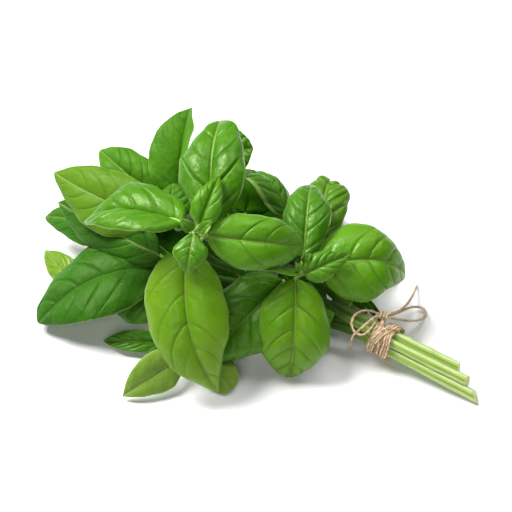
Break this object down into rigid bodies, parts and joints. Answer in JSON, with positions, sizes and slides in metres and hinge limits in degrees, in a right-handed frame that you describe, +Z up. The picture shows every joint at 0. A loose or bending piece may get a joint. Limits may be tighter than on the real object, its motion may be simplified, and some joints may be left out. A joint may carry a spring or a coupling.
{
  "type": "basil bunch",
  "caption": "Bunch of fresh sweet basil lying on its side, its bare stems tied with a jute twine bow and its leafy tops fanned out, as a kitchen or market prop",
  "frame": {"origin": "under the middle of the bunch, on the surface it lies on", "axes": "+X along the stems to their cut ends, +Y across the bunch, +Z up from the surface"},
  "size_m": [0.2405, 0.16, 0.0856],
  "materials": {
    "leaf": "satin, finely veined and softly puckered, paler below",
    "young": "satin, paler than the full grown leaves",
    "stem": "satin, faintly ribbed, with pale cut ends",
    "twine": "matt two-ply jute with loose fibres"
  },
  "bodies": {
    "root": {"crown_upper": "leaf", "crown_lower": "leaf", "crown_left": "leaf", "crown_right": "leaf", "crown_young_lower": "young", "crown_young_upper": "young", "crown_bud_left": "young", "crown_bud_right": "young", "collar_lower": "leaf", "collar_upper": "leaf", "collar_right": "leaf", "collar_left": "leaf", "collar_young_right": "young", "collar_young_left": "young", "collar_bud_left": "young", "collar_bud_right": "young", "left_big": "leaf", "left_high": "leaf", "left_strip": "leaf", "left_far": "leaf", "left_low": "leaf", "left_rear": "leaf", "top_standing": "leaf", "top_curved": "leaf", "top_folded": "leaf", "top_cupped": "leaf", "top_inner": "leaf", "top_crinkled": "leaf", "neck_young_front": "young", "neck_young_rear": "young", "low_left": "leaf", "low_narrow": "leaf", "low_turned": "leaf", "low_dark": "leaf", "low_tip": "leaf", "back_high": "leaf", "back_middle": "leaf", "back_right": "leaf", "back_left": "leaf", "back_low": "leaf", "under_left": "leaf", "under_back": "leaf", "under_middle": "leaf", "under_right": "leaf", "under_neck": "leaf", "under_tie": "leaf", "stem_crown": "stem", "stem_collar": "stem", "stem_front": "stem", "stem_left": "stem", "stem_back": "stem", "branch_left": "stem", "branch_back": "stem", "loop_left": "twine", "loop_right": "twine", "tail_left": "twine", "tail_right": "twine", "twine_wrap": "twine", "twine_knot": "twine"}
  },
  "joints": []
}
